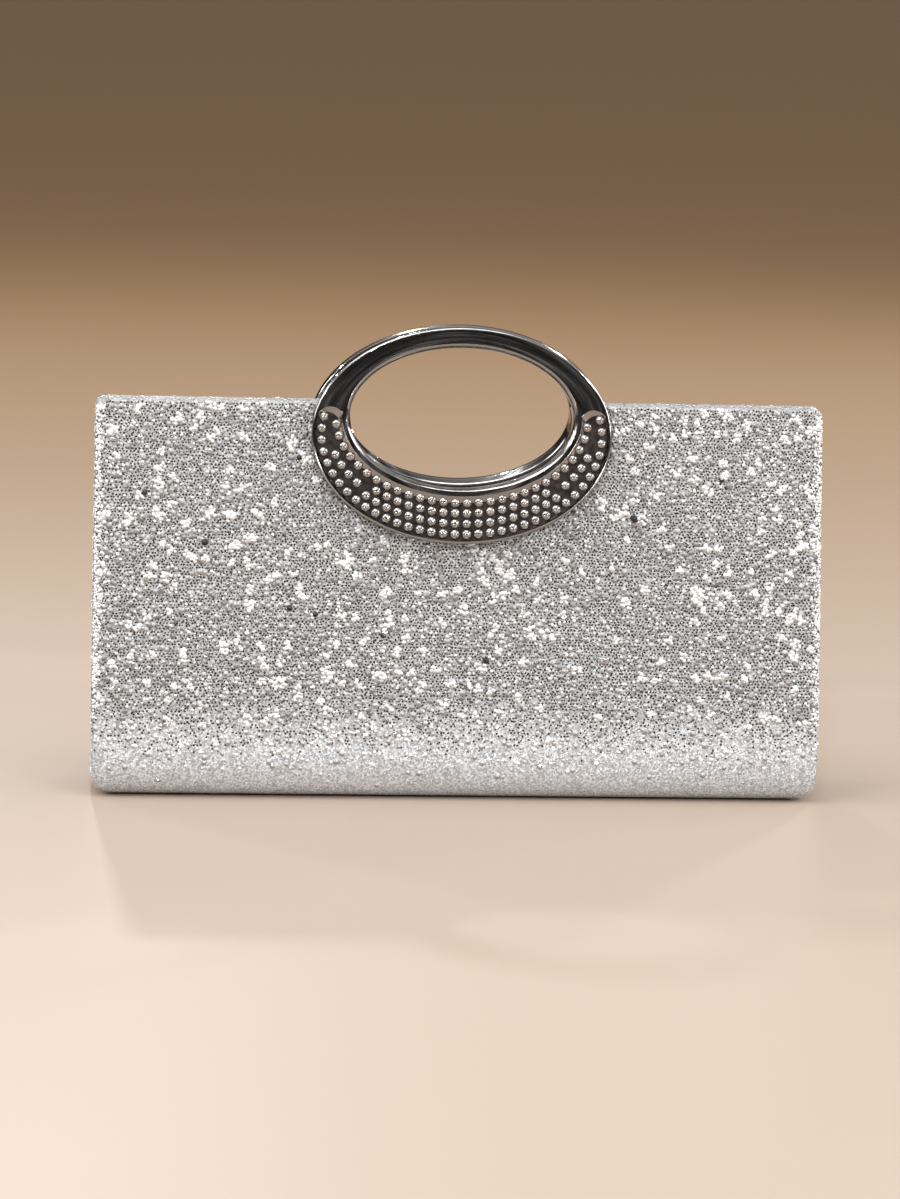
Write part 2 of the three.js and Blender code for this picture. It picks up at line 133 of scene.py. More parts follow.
def turn_matrix(side):
    """From the front half's millimetres to that side's metres."""
    turn = Matrix.Rotation(math.pi if side == "rear" else 0, 4, "Z")
    return turn @ Matrix.Scale(MM, 4)


def hand(side, end):
    """Whether that end of a half, where across has that sign, is at the purse's right or left."""
    return "right" if (end > 0) == (side == "front") else "left"


def unit(vectors):
    return vectors / np.linalg.norm(vectors, axis=-1, keepdims=True)


def distance_along(line):
    """How far each point of a line is from its start, measured along it."""
    return np.concatenate([[0], np.cumsum(np.linalg.norm(np.diff(line, axis=0), axis=1))])


def make_section():
    """Distance down, place and inward normal on the outside, from the top edge to the middle of the base."""
    along = np.linspace(0, 1, 80)[:, None]
    p0 = np.array([-FOOT_HALF_DEPTH, FOOT_HEIGHT])
    p1 = p0 - FOOT_REACH * np.array([math.sin(LEAN), math.cos(LEAN)])
    p2 = np.array([-FLAT_HALF_DEPTH - 9, 0])
    p3 = np.array([-FLAT_HALF_DEPTH, 0])
    curve = (
        (1 - along) ** 3 * p0
        + 3 * (1 - along) ** 2 * along * p1
        + 3 * (1 - along) * along**2 * p2
        + along**3 * p3
    )
    points = np.concatenate([[[-MOUTH_HALF_DEPTH, BODY_HEIGHT]], curve, [[0, 0]]])
    directions = unit(np.diff(points, axis=0))
    at_points = np.concatenate([directions[:1], (directions[:-1] + directions[1:]) / 2, directions[-1:]])
    at_points[1], at_points[-2] = directions[0], directions[-1]
    normals = np.stack([-at_points[:, 1], at_points[:, 0]], 1)
    return distance_along(points), points, normals


SECTION_DOWN, SECTION_POINTS, SECTION_NORMALS = make_section()
SHEET_LENGTH = SECTION_DOWN[-1]


def section(down):
    """Place and inward unit normal, as (y, z), at distances down from the top edge."""
    place = np.stack([np.interp(down, SECTION_DOWN, SECTION_POINTS[:, k]) for k in (0, 1)], -1)
    normal = np.stack([np.interp(down, SECTION_DOWN, SECTION_NORMALS[:, k]) for k in (0, 1)], -1)
    return place, unit(normal)


def on_sheet(across, down, depth):
    """Points of the front half of the fabric, which curves up at the ends of the base."""
    place, normal = section(down)
    beyond = np.clip(np.abs(across) - HALF_WIDTH + BASE_CORNER, 0, BASE_CORNER)
    end_height = BASE_CORNER - np.sqrt(BASE_CORNER**2 - beyond**2)
    apart = place[..., 1] - end_height
    lift = (np.sqrt(apart**2 + END_BLEND**2 * beyond / BASE_CORNER) - apart) / 2
    point = place + np.asarray(depth)[..., None] * normal
    height = point[..., 1] + np.where(beyond > 0, lift, 0)
    return np.stack([np.broadcast_to(across, height.shape), point[..., 0], height], -1)


def half_width(down):
    """Half of the fabric's width, which the upper corners take from."""
    at_top = np.clip(TOP_CORNER - down, 0, None)
    return HALF_WIDTH - TOP_CORNER + np.sqrt(np.clip(TOP_CORNER**2 - at_top**2, 0, None))


# ---- Meshes and pieces ----


def mesh_of(name, points, faces):
    mesh = bpy.data.meshes.new(name)
    mesh.from_pydata(np.asarray(points).reshape(-1, 3).tolist(), [], faces)
    return mesh


def mesh_of_arrays(name, points, corners, starts):
    """A mesh from all its faces' corners in one array and the place where each face starts in it."""
    mesh = bpy.data.meshes.new(name)
    mesh.vertices.add(len(points))
    mesh.vertices.foreach_set("co", points.astype(np.float32).ravel())
    mesh.loops.add(len(corners))
    mesh.loops.foreach_set("vertex_index", corners.astype(np.int32))
    mesh.polygons.add(len(starts))
    mesh.polygons.foreach_set("loop_start", starts.astype(np.int32))
    mesh.update(calc_edges=True)
    mesh.validate()
    return mesh


def new_piece(name, mesh, material, slot, matrix, sharp=None):
    """An object of that mesh in the world. Edges over the sharp angle stay sharp, and with None all do."""
    mesh.transform(matrix)
    mesh.materials.append(material)
    if sharp is not None:
        mesh.shade_smooth()
        mesh.set_sharp_from_angle(angle=math.radians(sharp))
    piece = bpy.data.objects.new(name, mesh)
    bpy.context.scene.collection.objects.link(piece)
    return piece


def mesh_from_bmesh(name, bm):
    bmesh.ops.remove_doubles(bm, verts=bm.verts, dist=1e-5)
    bmesh.ops.recalc_face_normals(bm, faces=bm.faces)
    mesh = bpy.data.meshes.new(name)
    bm.to_mesh(mesh)
    bm.free()
    return mesh


def loft(bm, loops):
    """Joins closed loops of equally many points by quads. Returns the first and the last ring of vertices."""
    rings = [[bm.verts.new(point) for point in loop] for loop in loops]
    for near, far in zip(rings, rings[1:]):
        for k in range(len(near)):
            bm.faces.new((near[k - 1], near[k], far[k], far[k - 1]))
    return rings[0], rings[-1]


def fill(bm, *rings):
    """A flat face inside the first ring and outside the others."""
    edges = [bm.edges.get((ring[k - 1], ring[k])) for ring in rings for k in range(len(ring))]
    bmesh.ops.triangle_fill(bm, edges=edges, use_beauty=True)


def closed_loft(bm, loops):
    """A solid through the loops, with a flat face at either end."""
    for ring in loft(bm, loops):
        fill(bm, ring)


def solids_mesh(name, parts):
    """Solids in one mesh, each through its own loops."""
    bm = bmesh.new()
    for loops in parts:
        closed_loft(bm, loops)
    return mesh_from_bmesh(name, bm)


def grid_faces(rows, columns):
    """The faces of a grid of points, as four places in it each."""
    return [
        (r * columns + c, r * columns + c + 1, (r + 1) * columns + c + 1, (r + 1) * columns + c)
        for r in range(rows - 1)
        for c in range(columns - 1)
    ]


def turn_angles(count):
    return np.linspace(0, 2 * np.pi, count, endpoint=False)


def oval_loop(oval, grow=0, count=256):
    """An outline, which is a row of (across, height)."""
    centre, half_across, half_up = oval
    angle = turn_angles(count)
    return np.stack([(half_across + grow) * np.cos(angle), centre + (half_up + grow) * np.sin(angle)], 1)


def circle_loop(place, radius, count):
    return oval_loop((0, radius, radius), 0, count) + np.array(place)


def at_depth(outline, depth):
    """The outline's points as (across, depth, height)."""
    return np.insert(outline, 1, depth, axis=1)


def profile_loops(make_outline, profile):
    """One loop for each (growth, depth) of a profile."""
    return [at_depth(make_outline(grow), depth) for grow, depth in profile]


def round_loops(place, profile, count):
    """One loop for each (radius, depth) of a round part's profile."""
    return profile_loops(lambda radius: circle_loop(place, radius, count), profile)


def quarter(radius, start, end, steps):
    """Points of a circle about the origin between two angles in degrees."""
    angle = np.radians(np.linspace(start, end, steps + 1))
    return np.stack([radius * np.cos(angle), radius * np.sin(angle)], 1)


def crescent_loop(outer, inner, top, end_rise, arc_steps=110, cap_steps=14):
    """The outline between two ovals, below a height, with rounded ends that rise above it."""

    def arc(oval):
        centre, half_across, half_up = oval
        end = math.asin((top - centre) / half_up)
        angle = np.linspace(end, -math.pi - end, arc_steps + 1)
        return np.stack([half_across * np.cos(angle), centre + half_up * np.sin(angle)], 1)

    def cap(start, end):
        control = np.array([(start[0] + end[0]) / 2, top + end_rise])
        t = np.linspace(0, 1, cap_steps + 1)[1:-1, None]
        return (1 - t) ** 2 * start + 2 * t * (1 - t) * control + t**2 * end

    out, back = arc(outer), arc(inner)[::-1]
    return np.concatenate([out, cap(out[-1], back[0]), back, cap(back[-1], out[0])])


def grown(oval, across, up=None):
    return (oval[0], oval[1] + across, oval[2] + (across if up is None else up))


# ---- Materials ----


class Nodes:
    """Short ways to add and join the shader nodes of a material or a world."""

    def __init__(self, owner):
        owner.use_nodes = True
        self.owner = owner
        self.tree = owner.node_tree
        self.shader = self.tree.nodes.get("Principled BSDF")

    def add(self, kind, **values):
        node = self.tree.nodes.new(f"ShaderNode{kind}")
        for key, value in values.items():
            if key in node.inputs:
                node.inputs[key].default_value = value
            else:
                setattr(node, key, value)
        return node

    def join(self, source, target):
        self.tree.links.new(source, target)

    def set(self, **values):
        """Sets the shader's sockets. An underscore in a name stands for a space."""
        for key, value in values.items():
            self.shader.inputs[key.replace("_", " ")].default_value = value

    def place(self):
        return self.add("TexCoord").outputs["Object"]

    def axis(self, name, where=None):
        """One coordinate of a vector, or else of the place."""
        split = self.add("SeparateXYZ")
        self.join(where or self.place(), split.inputs[0])
        return split.outputs[name]

    def vector(self, operation, *values):
        """The result of a vector operation on sockets and constant vectors."""
        node = self.add("VectorMath", operation=operation)
        for socket, value in zip(node.inputs, values):
            if isinstance(value, bpy.types.NodeSocket):
                self.join(value, socket)
            else:
                socket.default_value = value
        return node.outputs["Value" if operation == "LENGTH" else "Vector"]

    def noise(self, scale, detail=3, where=None):
        node = self.add("TexNoise", Scale=scale, Detail=detail)
        self.join(where or self.place(), node.inputs["Vector"])
        return node.outputs["Fac"]

    def ramp(self, source, stops):
        """Colours or greys at stops along the source's value."""
        node = self.add("ValToRGB")
        elements = node.color_ramp.elements
        while len(elements) < len(stops):
            elements.new(0.5)
        for element, (position, color) in zip(elements, stops):
            element.position = position
            element.color = (*color, 1) if hasattr(color, "__len__") else (color, color, color, 1)
        self.join(source, node.inputs["Fac"])
        return node.outputs["Color"]

    def spread(self, source, low, high, start=0.3, stop=0.7):
        """A value that goes from low to high as the source goes from start to stop."""
        node = self.add("MapRange")
        for key, value in (("From Min", start), ("From Max", stop), ("To Min", low), ("To Max", high)):
            node.inputs[key].default_value = value
        self.join(source, node.inputs["Value"])
        return node.outputs["Result"]

    def color(self, source, low, high):
        """The shader's colour, between two that the source's noise mixes."""
        self.join(self.ramp(source, [(0.3, low), (0.7, high)]), self.shader.inputs["Base Color"])

    def roughness(self, source, low, high):
        self.join(self.spread(source, low, high), self.shader.inputs["Roughness"])

    def bump(self, height, distance, strength=1.0):
        node = self.add("Bump", Strength=strength, Distance=distance)
        self.join(height, node.inputs["Height"])
        self.join(node.outputs["Normal"], self.shader.inputs["Normal"])


def new_material(name):
    return Nodes(bpy.data.materials.new(name))


# The ground of the fabric: its darkest and lightest grains on the walls and at the foot, the heights between
# which it pales, the size of a grain, and how far a grain's facet leans. The pale, cool grains at the foot
# are a painted reflection of the pale floor, which the foot faces.
WALL_GRAINS = [(0.3, 0.26), (0.7, 0.46)]
FOOT_GRAINS_WITH_PAINTED_REFLECTION = [(0.3, (0.365, 0.39, 0.42)), (0.7, (0.725, 0.76, 0.8))]
PAINTED_REFLECTION_HEIGHTS = (31 * MM, 15 * MM)
GRAIN_SIZE = 0.55 * MM
GRAIN_LEAN = (0.55, 0.55, 0.55)


def fabric_material():
    """Fine grains, each a facet that leans its own way, paler at the foot by a painted reflection of the
    floor.
    """
    m = new_material("glitter_ground")
    m.set(Metallic=0.35, Roughness=0.42)
    grain = m.add("TexVoronoi", Scale=1 / GRAIN_SIZE)
    m.join(m.place(), grain.inputs["Vector"])
    grey = m.add("RGBToBW")
    m.join(grain.outputs["Color"], grey.inputs["Color"])
    mix = m.add("MixRGB")
    # Painted reflection of the floor: below these heights the grains turn to the paler foot tones.
    m.join(m.spread(m.axis("Z"), 0, 1, *PAINTED_REFLECTION_HEIGHTS), mix.inputs["Fac"])
    m.join(m.ramp(grey.outputs["Val"], WALL_GRAINS), mix.inputs["Color1"])
    m.join(m.ramp(grey.outputs["Val"], FOOT_GRAINS_WITH_PAINTED_REFLECTION), mix.inputs["Color2"])
    m.join(mix.outputs["Color"], m.shader.inputs["Base Color"])
    centred = m.vector("SUBTRACT", grain.outputs["Color"], (0.5, 0.5, 0.5))
    leaning = m.vector("MULTIPLY_ADD", centred, GRAIN_LEAN, m.add("NewGeometry").outputs["Normal"])
    m.join(m.vector("NORMALIZE", leaning), m.shader.inputs["Normal"])
    return m.owner


def flake_material(name, color, roughness, metallic):
    m = new_material(name)
    m.set(Base_Color=(*color, 1), Metallic=metallic, Roughness=roughness)
    return m.owner


# How fast the streaks of the metal change across the ring's band and round it
STREAKS_ACROSS = 14
STREAKS_ROUND = (0.6, 0.6, 0.6)


def dark_chrome_material():
    """Polished metal with fine streaks that follow the oval of the ring."""
    m = new_material("dark_chrome")
    m.set(Base_Color=(0.34, 0.33, 0.325, 1), Metallic=1.0)
    middle = WALL_FRAME @ Vector((0, RING_FACE, RIM[0]))
    from_middle = m.vector("SUBTRACT", m.place(), (0, 0, middle.z * MM))
    on_oval = m.vector("MULTIPLY", from_middle, (1 / (RIM[1] * MM), 0, 1 / (RIM[2] * MM)))
    across = m.add("Math", operation="MULTIPLY")
    m.join(m.vector("LENGTH", on_oval), across.inputs[0])
    across.inputs[1].default_value = STREAKS_ACROSS
    offset = m.add("CombineXYZ")
    m.join(across.outputs[0], offset.inputs["Y"])
    along = m.vector("MULTIPLY_ADD", m.vector("NORMALIZE", on_oval), STREAKS_ROUND, offset.outputs[0])
    streaks = m.noise(1.7, 5, along)
    m.roughness(streaks, 0.06, 0.24)
    m.bump(streaks, 0.35 * MM, 0.5)
    return m.owner


def silver_material():
    m = new_material("bright_silver")
    m.set(Base_Color=(0.34, 0.325, 0.315, 1), Metallic=0.95)
    m.roughness(m.noise(700), 0.14, 0.22)
    return m.owner


def plate_material():
    m = new_material("tray_plate")
    m.set(Metallic=0.7)
    tone = m.noise(500, 4)
    m.color(tone, (0.05, 0.04, 0.036), (0.07, 0.058, 0.052))
    m.roughness(tone, 0.2, 0.35)
    return m.owner


def satin_material():
    m = new_material("satin")
    m.set(Roughness=0.42, Sheen_Weight=0.3)
    m.color(m.noise(28, 2), (0.5, 0.5, 0.52), (0.62, 0.62, 0.64))
    weave = m.add("TexWave", Scale=1 / (1.6 * MM), Distortion=0.6, bands_direction="DIAGONAL")
    m.join(m.place(), weave.inputs["Vector"])
    m.bump(weave.outputs["Fac"], 0.03 * MM)
    return m.owner


def leatherette_material():
    m = new_material("leatherette")
    m.set(Metallic=0.45)
    grain = m.add("TexVoronoi", Scale=1 / (1.1 * MM), feature="DISTANCE_TO_EDGE")
    m.join(m.place(), grain.inputs["Vector"])
    tone = m.noise(60, 3)
    m.color(tone, (0.36, 0.36, 0.37), (0.47, 0.47, 0.48))
    m.roughness(tone, 0.36, 0.5)
    m.bump(grain.outputs["Distance"], 0.12 * MM)
    return m.owner


def cardboard_material():
    m = new_material("greyboard")
    m.set(Roughness=0.9)
    fibres = m.noise(1500, 4)
    m.color(fibres, (0.3, 0.26, 0.21), (0.42, 0.37, 0.3))
    m.bump(fibres, 0.05 * MM)
    return m.owner


def steel_material():
    m = new_material("steel")
    m.set(Base_Color=(0.62, 0.62, 0.63, 1), Metallic=1.0)
    m.roughness(m.noise(900, 5), 0.16, 0.32)
    return m.owner


def thread_material():
    m = new_material("thread")
    m.set(Roughness=0.6, Sheen_Weight=0.3)
    m.color(m.noise(4000, 2), 0.42, 0.6)
    return m.owner


FABRIC = fabric_material()
CHROME = dark_chrome_material()
SILVER = silver_material()
PLATE = plate_material()
SATIN = satin_material()
LEATHERETTE = leatherette_material()
CARDBOARD = cardboard_material()
STEEL = steel_material()
THREAD = thread_material()


# ---- Glitter fabric ----

EDGE_ROUND = 1.5
FABRIC_THICKNESS = 0.8
TURN_DEPTH = 6
LIP_WIDTH = 2.1
NOTCH = grown(GRIP, 1.5)
WELD = 1e-4


def cover_outline():
    """Half width, distance down and outward normal of one side of the fabric's outline, from the top down."""
    corner = np.radians(np.linspace(0, 90, 6))
    corner_half = HALF_WIDTH - TOP_CORNER + TOP_CORNER * np.sin(corner)
    corner_down = TOP_CORNER - TOP_CORNER * np.cos(corner)
    flat = np.arange(TOP_CORNER + 2, WALL_LENGTH, 2.5)
    curved = np.linspace(WALL_LENGTH, SHEET_LENGTH, 52)
    side_down = np.concatenate([flat, curved])
    side_half = half_width(side_down)
    slope = np.gradient(side_half, side_down)
    length = np.hypot(1, slope)
    half = np.concatenate([corner_half, side_half])
    down = np.concatenate([corner_down, side_down])
    normal_across = np.concatenate([np.sin(corner), 1 / length])
    normal_down = np.concatenate([-np.cos(corner), -slope / length])
    normal_down[-1] = 0
    return half, down, normal_across, normal_down


def cover_mesh():
    """The fabric's outer surface: the face, the rounded edge, the turned lip and its end inside the purse."""
    half, down, normal_across, normal_down = cover_outline()
    near_end = 1 - np.linspace(8, 0, 12) / HALF_WIDTH  # closer together within 8 mm of the edge
    share = np.concatenate([-near_end[::-1], np.linspace(-near_end[0], near_end[0], 90)[1:-1], near_end])
    rows, columns = len(half), len(share)
    across = share * (half - EDGE_ROUND * normal_across)[:, None]
    face_down = np.repeat((down - EDGE_ROUND * normal_down)[:, None], columns, 1)
    grids = [on_sheet(across, face_down, np.zeros_like(across)).reshape(-1, 3)]
    faces = [(a, d, c, b) for a, b, c, d in grid_faces(rows, columns)]

    up, along_top = np.arange(rows)[::-1], np.arange(1, columns - 1)
    loop = np.concatenate([up * columns, along_top, np.arange(rows) * columns + columns - 1])
    top_share = share[1:-1]
    edge_across = np.concatenate([-half[up], top_share * half[0], half])
    edge_down = np.concatenate([down[up], 0 * top_share, down])
    out_across = np.concatenate([-normal_across[up], 0 * top_share, normal_across])
    out_down = np.concatenate([normal_down[up], 0 * top_share - 1, normal_down])

    rounding = [(EDGE_ROUND - x, EDGE_ROUND - y) for y, x in quarter(EDGE_ROUND, 0, 90, 4)[1:]]
    lip = [(0, TURNED_THICKNESS - 0.4), (0.12, TURNED_THICKNESS - 0.12), (0.4, TURNED_THICKNESS)]
    inner_across = edge_across - LIP_WIDTH * out_across
    inner_down = np.maximum(edge_down - LIP_WIDTH * out_down, TURN_DEPTH)
    levels = [
        on_sheet(edge_across - inset * out_across, edge_down - inset * out_down, np.full(len(loop), depth))
        for inset, depth in rounding + lip
    ]
    for depth in (TURNED_THICKNESS, TURNED_THICKNESS - 0.25):
        levels.append(on_sheet(inner_across, inner_down, np.full(len(loop), depth)))
    for level in levels:
        fresh = np.arange(len(level)) + sum(len(grid) for grid in grids)
        grids.append(level)
        faces += np.stack([loop[:-1], loop[1:], fresh[1:], fresh[:-1]], 1).tolist()
        loop = fresh
    mesh = mesh_of("cover", np.concatenate(grids), faces)
    open_notch(mesh)
    return mesh


def open_notch(mesh):
    """Takes the handle's opening out of a surface and moves the edge that is left onto the notch's oval."""
    bm = bmesh.new()
    bm.from_mesh(mesh)
    bmesh.ops.remove_doubles(bm, verts=bm.verts, dist=WELD)
    to_wall = WALL_FRAME.inverted()
    centre, half_across, half_up = NOTCH

    def reach(point):
        return math.hypot(point.x / half_across, (point.z - centre) / half_up)

    inside = [face for face in bm.faces if reach(to_wall @ face.calc_center_median()) < 1]
    edge = {vert for face in inside for vert in face.verts}
    bmesh.ops.delete(bm, geom=inside, context="FACES")
    for vert in edge:
        if not vert.is_valid:
            continue
        point = to_wall @ vert.co
        if point.z > centre:
            across = half_across * math.sqrt(max(0, 1 - ((point.z - centre) / half_up) ** 2))
            point.x = math.copysign(across, point.x)
        else:
            share = reach(point)
            point.x, point.z = point.x / share, centre + (point.z - centre) / share
        vert.co = WALL_FRAME @ point
    bm.to_mesh(mesh)
    bm.free()


def thicken(piece, thickness):
    """Makes the surface a closed sheet that grows inwards from it."""
    layer = piece.modifiers.new("thickness", "SOLIDIFY")
    layer.thickness, layer.offset = thickness * MM, -1
    graph = bpy.context.evaluated_depsgraph_get()
    sheet = bpy.data.meshes.new_from_object(piece.evaluated_get(graph))
    piece.modifiers.clear()
    piece.data = sheet


def bend(piece):
    """Puts the piece's placement into its mesh."""
    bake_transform(piece)


def add_glued_sheet(piece, side, thickness, part):
    """Makes the piece a closed sheet over the boards of wall and base, which stands for that part of both."""
    thicken(piece, thickness)
    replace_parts(piece, f"{side}_{part}", f"base_{part}")
    bend(piece)


def add_cover(side):
    piece = new_piece(f"{side}_fabric", cover_mesh(), FABRIC, "glitter_fabric", turn_matrix(side), 50)
    add_glued_sheet(piece, side, FABRIC_THICKNESS, "cover")


def skin_points(across, down):
    """Points of the fabric's outer face, which goes on round the side edges and over the top edge."""
    flat_half = half_width(np.maximum(down, TOP_CORNER)) - EDGE_ROUND
    beyond_side = np.clip(np.abs(across) - flat_half, 0, None)
    beyond_top = np.clip(EDGE_ROUND - down, 0, None)
    side_turn = np.clip(beyond_side / EDGE_ROUND, 0, np.pi / 2)
    top_turn = np.clip(beyond_top / EDGE_ROUND, 0, np.pi / 2)
    straight = beyond_side - side_turn * EDGE_ROUND + beyond_top - top_turn * EDGE_ROUND
    depth = EDGE_ROUND * (2 - np.cos(side_turn) - np.cos(top_turn)) + straight
    on_across = np.sign(across) * (np.minimum(np.abs(across), flat_half) + EDGE_ROUND * np.sin(side_turn))
    on_down = np.maximum(down, EDGE_ROUND) - EDGE_ROUND * np.sin(top_turn)
    return on_sheet(on_across, on_down, depth)


def skin(across, down, step=0.2):
    """Points of the fabric's outer face and their outward normals."""
    along_across = skin_points(across + step, down) - skin_points(across - step, down)
    along_down = skin_points(across, down + step) - skin_points(across, down - step)
    return skin_points(across, down), unit(np.cross(along_down, along_across))


def under_ring(across, down):
    """True where the ring or its opening covers the wall."""
    centre, half_across, half_up = grown(RIM, -0.8)
    return (across / half_across) ** 2 + ((WALL_LENGTH - down - centre) / half_up) ** 2 < 1


def tangents(normals):
    """Two directions across each normal, at right angles to one another."""
    first = unit(np.cross(normals, [0.0, 0.3, 1.0]))
    return first, np.cross(normals, first)


def flake_mesh(name, points, normals, radius, tilt, sides):
    """Flat flakes, each a closed low cone whose flat face looks outwards, tilted a little either way."""
    count = len(points)
    first, second = tangents(normals)
    towards = rng.uniform(0, 2 * np.pi, count)[:, None]
    lean = np.tan(np.clip(np.abs(rng.normal(0, tilt, count)), 0, 1.0))[:, None]
    facing = unit(normals + lean * (np.cos(towards) * first + np.sin(towards) * second))
    first, second = tangents(facing)
    spin = rng.uniform(0, 2 * np.pi, count)[:, None] + np.arange(sides) * 2 * np.pi / sides
    reach = (radius[:, None] * rng.uniform(0.88, 1.08, (count, sides)))[..., None]
    ring = reach * (np.cos(spin)[..., None] * first[:, None] + np.sin(spin)[..., None] * second[:, None])
    ring += points[:, None]
    tip = (points - 0.5 * radius[:, None] * facing)[:, None]
    vertices = np.concatenate([ring, tip], 1)
    base = (np.arange(count) * (sides + 1))[:, None]
    order = np.arange(sides)
    nearer = np.stack([np.roll(order, -1), order, np.full(sides, sides)], 1).ravel()
    corners = np.concatenate([base + order, base + nearer], 1)
    starts = np.concatenate([[0], sides + 3 * order])
    all_starts = (np.arange(count) * (4 * sides))[:, None] + starts
    return mesh_of_arrays(name, vertices.reshape(-1, 3), corners.ravel(), all_starts.ravel())


# How far flakes go across and over the top edge, how high above the floor they stop, and the strip along the
# top edge where none is over the flat radius
SKIN_REACH = HALF_WIDTH + 3.6
SKIN_OVER_TOP = 2.8
UNDERSIDE = 2.5
SMOOTH_STRIP = 0.8
FLAT_RADIUS = 0.4


def scattered(count):
    """Places anywhere on the skin of one half, as (across, down)."""
    across = rng.uniform(-SKIN_REACH, SKIN_REACH, count)
    return np.stack([across, rng.uniform(-SKIN_OVER_TOP, SHEET_LENGTH, count)])


def in_rows(pitch):
    """Places in staggered rows, each a little off its row."""
    rows = np.arange(-SKIN_OVER_TOP, SHEET_LENGTH, 0.87 * pitch)
    across, down = np.meshgrid(np.arange(-SKIN_REACH, SKIN_REACH, pitch), rows)
    across[1::2] += pitch / 2
    places = np.stack([across.ravel(), down.ravel()])
    return places + rng.normal(0, 0.13 * pitch, places.shape)


def in_clusters(count, size, spread):
    """Places in small groups here and there."""
    centres = np.repeat(scattered(count), size, axis=1)
    return centres + rng.normal(0, spread, centres.shape)


def along_highlit_edges(count):
    """Places close to the two side edges, for white flakes that paint the bright highlight along them."""
    down = rng.uniform(TOP_CORNER, WALL_LENGTH, count)
    from_edge = np.abs(rng.normal(0, 1.1, count))
    return np.stack([rng.choice([-1, 1], count) * (HALF_WIDTH - from_edge), down])


# Each kind of flake: how it is placed, smallest and largest radius, tilt in radians, how far it stands proud,
# its number of sides and its tone
FLAKES = {
    "specks": (lambda: in_rows(1.2), (0.35, 0.45), 0.15, (0.03, 0.09), 5, "dark"),
    "light_flakes": (lambda: scattered(3000), (0.6, 1.2), 0.07, (0.1, 0.18), 7, "light"),
    "grey_flakes": (lambda: scattered(2600), (0.6, 1.2), 0.07, (0.1, 0.18), 7, "grey"),
    "fine_grains": (lambda: scattered(9000), (0.22, 0.4), 0.25, (0.08, 0.2), 4, "light"),
    "bright_grains": (lambda: scattered(5200), (0.2, 0.4), 0.4, (0.1, 0.3), 4, "bright"),
    "white_flakes": (lambda: scattered(2400), (0.4, 0.7), 0.2, (0.2, 0.4), 6, "white"),
    "clustered_flakes": (lambda: in_clusters(560, 8, 0.72), (0.55, 0.92), 0.15, (0.2, 0.42), 6, "white"),
    # White flakes along the side edges: a painted highlight.
    "edge_highlight_flakes": (lambda: along_highlit_edges(1100), (0.32, 0.62), 0.2, (0.2, 0.4), 6, "white"),
    "bright_sequins": (lambda: scattered(110), (0.9, 1.15), 0.2, (0.3, 0.5), 6, "bright"),
    "dark_sequins": (lambda: scattered(14), (1.0, 1.25), 0.12, (0.3, 0.45), 12, "charcoal"),
}
# Each tone: its colour, roughness and metallic share, the height above which its flakes are thickest and the
# height below which there are none. Thinning the grey and dark tones out towards the foot is part of the
# painted floor reflection there, which leaves the foot pale.
TONES = {
    "bright": ((0.9, 0.9, 0.92), 0.2, 1.0, 42, -5),
    "white": ((1.0, 1.0, 1.0), 0.3, 0.0, 42, 8),
    "light": ((0.6, 0.6, 0.61), 0.42, 0.3, 36, 4),
    "grey": ((0.42, 0.42, 0.43), 0.4, 0.5, 42, 22),
    "charcoal": ((0.07, 0.07, 0.075), 0.35, 0.6, 38, 20),
    "dark": ((0.008, 0.008, 0.009), 0.8, 0.0, 40, 14),
}
FLAKE_MATERIALS = {tone: flake_material(f"flake_{tone}", *look[:3]) for tone, look in TONES.items()}


def add_flakes(side):
    for kind, (places, (smallest, largest), tilt, (low, high), sides, tone) in FLAKES.items():
        across, down = places()
        height = section(down)[0][:, 1]
        full, gone = TONES[tone][3:]
        # Fewer flakes low down; for the grey and dark tones this is part of the painted floor reflection at
        # the foot.
        thinned = rng.uniform(gone, full, len(down)) > height
        corner = (down < TOP_CORNER) & (np.abs(across) > HALF_WIDTH - TOP_CORNER)
        outside = (down > SHEET_LENGTH) | (down < -SKIN_OVER_TOP) | (np.abs(across) > SKIN_REACH)
        on_strip = (down < SMOOTH_STRIP) & (largest > FLAT_RADIUS)
        keep = ~(under_ring(across, down) | thinned | corner | outside | on_strip | (height < UNDERSIDE))
        across, down = across[keep], down[keep]
        points, normals = skin(across, down)
        points = points + rng.uniform(low, high, len(points))[:, None] * normals
        radius = rng.uniform(smallest, largest, len(points))
        mesh = flake_mesh(kind, points, normals, radius, tilt, sides)
        look = FLAKE_MATERIALS[tone], "glitter_fabric"
        bend(new_piece(f"{side}_{kind}", mesh, *look, turn_matrix(side)))


# ---- Handle ring, tray and beads ----


